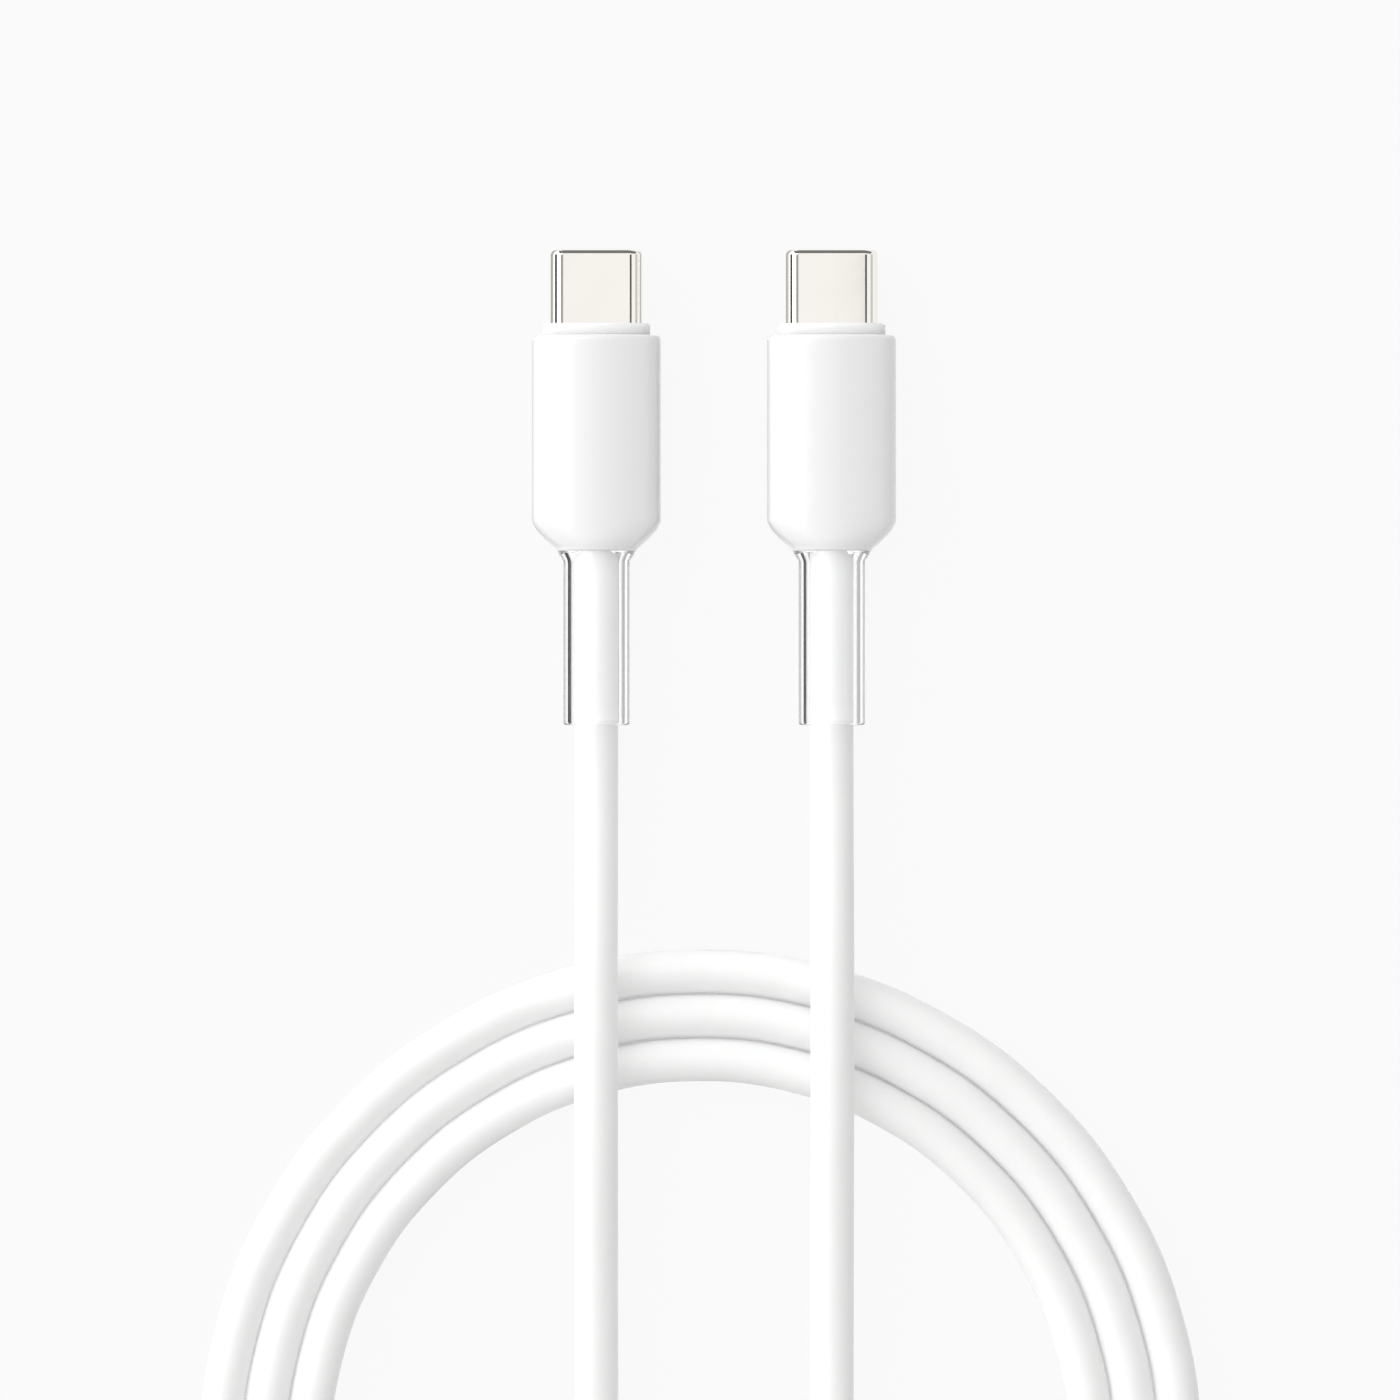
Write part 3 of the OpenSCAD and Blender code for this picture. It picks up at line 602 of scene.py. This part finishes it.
shell = start_ring("shell", SHELL_ROOT, SHELL_T / 2, count=62)
for side in (1, -1):
    bpy.ops.mesh.select_all(action="DESELECT")
    bpy.ops.object.mode_set(mode="OBJECT")
    for vertex in shell.data.vertices:
        vertex.select = (vertex.co.x - PLUG_A.x) * side > NEAR
    bpy.ops.object.mode_set(mode="EDIT")
    bpy.ops.transform.translate(value=(side * (SHELL_W - SHELL_T) / 2, 0, 0))
# Short faces next to the round sides keep the two flats even
bpy.ops.mesh.select_all(action="DESELECT")
bpy.ops.mesh.select_mode(type="EDGE")
bpy.ops.object.mode_set(mode="OBJECT")
for edge in shell.data.edges:
    one, other = (shell.data.vertices[i].co for i in edge.vertices)
    edge.select = (one - other).length > SHELL_T / 2
bpy.ops.object.mode_set(mode="EDIT")
bpy.ops.mesh.subdivide(number_cuts=FLAT_CUTS)
bpy.ops.mesh.select_mode(type="VERT")
bpy.ops.mesh.select_all(action="SELECT")
draw_through(
    rounded_edge(
        SHELL_TIP - MOUTH_R * math.sin(math.radians(MOUTH_TURN)), SHELL_W, SHELL_T, MOUTH_R,
        MOUTH_R, [MOUTH_TURN * i / MOUTH_STEPS for i in range(MOUTH_STEPS + 1)],
    ),
    (SHELL_ROOT, SHELL_W, SHELL_T),
)
bpy.ops.mesh.select_all(action="SELECT")
bpy.ops.mesh.normals_make_consistent(inside=False)
bpy.ops.object.mode_set(mode="OBJECT")
wall = shell.modifiers.new("wall", "SOLIDIFY")
wall.thickness = SHELL_WALL
wall.offset = -1
rim = shell.modifiers.new("rim", "BEVEL")
rim.width = RIM_EDGE
rim.segments = 3
rim.limit_method = "ANGLE"
rim.angle_limit = math.radians(50)
bpy.ops.object.modifier_apply(modifier="wall")
bpy.ops.object.modifier_apply(modifier="rim")
# Smooth shading on the round sides, and large flats that stay flat
bpy.ops.object.shade_smooth_by_angle(angle=math.radians(35))
flats = shell.modifiers.new("flats", "WEIGHTED_NORMAL")
flats.keep_sharp = True
bpy.ops.object.modifier_apply(modifier="flats")

drawn_steel, shader = new_material("drawn_steel", Metallic=1)
tint(shader, 240, (0.912, 0.89, 0.83), (0.928, 0.906, 0.848))
roughen(shader, 1500, 0.035, 0.055)
relief(shader, 900, height=0.000002, strength=0.15)
both_plugs(shell, drawn_steel, "shell")


# ---- Contact housing, contacts, latch and springs ----
# Black glass-filled plastic in the shell's mouth, with two rows of gold-plated bronze contacts, a
# steel latch plate between them and a thin spring strip above and below.
def finish_nodes(material, *nodes):
    """Give the CAD's own pieces on both plugs this finish."""
    for plug in PLUGS:
        for node in nodes:
            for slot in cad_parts[plug + node].material_slots:
                slot.material = material


black_plastic, shader = new_material("black_plastic", Specular_IOR_Level=0.4)
tint(shader, 1500, (0.016, 0.016, 0.018), (0.03, 0.03, 0.032))
roughen(shader, 2500, 0.45, 0.6)
finish_nodes(black_plastic, "insulator")

contact_gold, shader = new_material("contact_gold", Metallic=1)
tint(shader, 1200, (0.83, 0.6, 0.26), (0.88, 0.67, 0.33))
roughen(shader, 3000, 0.18, 0.3)
finish_nodes(contact_gold, "contacts_upper", "contacts_lower")

spring_steel, shader = new_material("spring_steel", Metallic=1)
tint(shader, 900, (0.55, 0.55, 0.55), (0.64, 0.64, 0.63))
roughen(shader, 2400, 0.22, 0.34)
finish_nodes(spring_steel, "latch_plate", "spring_upper", "spring_lower")


# ---- Inside the bodies ----
# Two tin-plated half cans round a cream core, which holds the green paddle card. The insulated
# wires are soldered to it, and a brass ring is crimped on the cord's jacket.
tinned_can, shader = new_material("tinned_can", Metallic=1)
tint(shader, 500, (0.6, 0.6, 0.6), (0.7, 0.7, 0.69))
roughen(shader, 1200, 0.3, 0.45)
finish_nodes(tinned_can, "can_upper", "can_lower")

core_cream, shader = new_material("core_cream")
tint(shader, 400, (0.7, 0.67, 0.58), (0.78, 0.75, 0.66))
roughen(shader, 900, 0.45, 0.6)
finish_nodes(core_cream, "core")

card_green, shader = new_material("card_green", Coat_Weight=0.3)
tint(shader, 1800, (0.01, 0.09, 0.04), (0.02, 0.15, 0.07))
roughen(shader, 2000, 0.3, 0.45)
finish_nodes(card_green, "paddle_card")

ceramic_tan, shader = new_material("ceramic_tan")
tint(shader, 3000, (0.42, 0.29, 0.17), (0.52, 0.37, 0.23))
roughen(shader, 3000, 0.3, 0.5)
finish_nodes(ceramic_tan, "capacitor")

crimp_brass, shader = new_material("crimp_brass", Metallic=1)
tint(shader, 700, (0.7, 0.5, 0.2), (0.78, 0.58, 0.26))
roughen(shader, 1600, 0.25, 0.4)
finish_nodes(crimp_brass, "crimp_ring")

for wire_name, dark, light in (
    ("wire_power", (0.45, 0.02, 0.015), (0.52, 0.03, 0.02)),
    ("wire_ground", (0.012, 0.012, 0.013), (0.022, 0.022, 0.023)),
    ("wire_data_plus", (0.02, 0.24, 0.07), (0.03, 0.3, 0.1)),
    ("wire_data_minus", (0.74, 0.74, 0.72), (0.8, 0.8, 0.78)),
    ("wire_control", (0.02, 0.08, 0.33), (0.03, 0.11, 0.4)),
):
    wire_cover, shader = new_material(wire_name)
    tint(shader, 1400, dark, light)
    roughen(shader, 2200, 0.35, 0.5)
    finish_nodes(wire_cover, wire_name)


# ---- Floor ----
# A plain pale table top. Seen straight it is nearly white, and it keeps the cable's faint shadow.
FLOOR_SIZE = 3
FLOOR_GLOW = 0.958
GLOW_SHARE = 0.96
bpy.ops.object.select_all(action="DESELECT")
bpy.ops.mesh.primitive_plane_add(size=FLOOR_SIZE, location=(0, -0.05, 0))
floor = bpy.context.object
floor.name = "floor"
floor_pale, shader = new_material(
    "floor_pale", Roughness=0.9, Base_Color=(0.86, 0.86, 0.86, 1), Specular_IOR_Level=0
)
nodes = shader.id_data.nodes
path = nodes.new("ShaderNodeLightPath")
seen = calculate(nodes, "MAXIMUM", path.outputs["Is Camera Ray"], path.outputs["Is Glossy Ray"])
seen = calculate(nodes, "MAXIMUM", seen, path.outputs["Is Transmission Ray"])
share = calculate(nodes, "MULTIPLY", seen, GLOW_SHARE)
glow = nodes.new("ShaderNodeEmission")
glow.inputs["Color"].default_value = (FLOOR_GLOW, FLOOR_GLOW, FLOOR_GLOW, 1)
show_as(nodes, blended(nodes, share, shader.outputs["BSDF"], glow.outputs["Emission"]))
floor.data.materials.append(floor_pale)
floor.visible_transmission = False


# ---- Light ----
# An even pale room, and one large soft lamp to the upper left. Plain cards, which only shine in
# metal and clear plastic, draw the lines that a studio's edges leave there; the low ones on the
# table are a painted shade of it.

# How bright the room is, and how much brighter it shows straight, through plastic and in metal
ROOM_LEVEL = 0.65
SHOWN_MORE = 0.297
SHINE_MORE = 0.35
LAMP_FAR = 2.4
LAMP_SIZE = 3.2
LAMP_WATTS = 61.5

world = bpy.data.worlds.new("room")
bpy.context.scene.world = world
world.use_nodes = True
nodes, links = world.node_tree.nodes, world.node_tree.links
room = nodes["Background"]
room.inputs["Color"].default_value = (1, 1, 1, 1)
path = nodes.new("ShaderNodeLightPath")
shown = calculate(
    nodes, "MAXIMUM", path.outputs["Is Camera Ray"], path.outputs["Is Transmission Ray"]
)
level = calculate(nodes, "MULTIPLY_ADD", shown, SHOWN_MORE, ROOM_LEVEL)
level = calculate(nodes, "MULTIPLY_ADD", path.outputs["Is Glossy Ray"], SHINE_MORE, level)
links.new(level, room.inputs["Strength"])

lamp_way = Vector((-0.707, 0.424, 0.565))
bpy.ops.object.light_add(type="AREA", location=lamp_way * LAMP_FAR)
lamp = bpy.context.object
lamp.rotation_euler = (-lamp_way).to_track_quat("-Z", "Y").to_euler()
lamp.data.size = LAMP_SIZE
lamp.data.energy = LAMP_WATTS


def card(name, size, place, facing, shade):
    """A plain card of one shade that faces a point, seen only in reflections."""
    bpy.ops.object.select_all(action="DESELECT")
    bpy.ops.mesh.primitive_plane_add(size=1, location=place)
    made = bpy.context.object
    made.name = name
    made.scale = (*size, 1)
    made.rotation_euler = (Vector(facing) - Vector(place)).to_track_quat("Z", "Y").to_euler()
    made.visible_camera = made.visible_diffuse = made.visible_shadow = False
    made.visible_transmission = False
    plain, shader = new_material(name)
    nodes = shader.id_data.nodes
    flat = nodes.new("ShaderNodeEmission")
    flat.inputs["Color"].default_value = (shade, shade, shade, 1)
    show_as(nodes, flat.outputs["Emission"])
    made.data.materials.append(plain)
    return made


# Cards that stand round the plugs
plugs_middle = (0, 0.015, 0)
card("card_left", (0.4, 0.34), (-0.705, 0.05, 0.257), plugs_middle, 0.08)
card("card_right", (0.4, 0.3), (0.692, 0.05, 0.338), plugs_middle, 0.62)
card("card_back", (1.5, 0.9), (0.2, 0.7, 0.4), (0.2, 0.015, 0), 0.19)
# Strips overhead, one for the flats of each shell
for name, middle_x, length, shade in (
    ("strip_left", -0.275, 0.45, 0.38), ("strip_right", 0.206, 0.32, 0.09)
):
    place = (middle_x, 0.1128, 1)
    card(name, (length, 0.095), place, (middle_x, 0.1128, 0), shade)
# Dark cards on the table to the left of each plug, seen only in reflections, a painted shade of
# the table there: one beside its shell and one beside the rest
for plug, middle_x, width in (("a", -0.0213, 0.0095), ("b", 0.0015, 0.006)):
    for name, length, middle_y, shade in (
        ("painted_shade_front_", 0.0138, 0.0211, 0.45), ("painted_shade_side_", 0.0986, -0.0357, 0.2)
    ):
        place = (middle_x, middle_y, 0.0003)
        card(name + plug, (width, length), place, (middle_x, middle_y, 1), shade)
# Cards far under the floor, which show only through clear plastic, where the floor doesn't
for name, middle_x, width, shade in (
    ("under_left", -1.36, 2.1, 0.02), ("under_middle", 0.008, 0.216, 0.6),
    ("under_right", 1.36, 2.1, 0.5),
):
    under = card(name, (width, 0.4), (middle_x, 0, -0.4), (middle_x, 0, 1), shade)
    under.visible_glossy = False
    under.visible_transmission = True
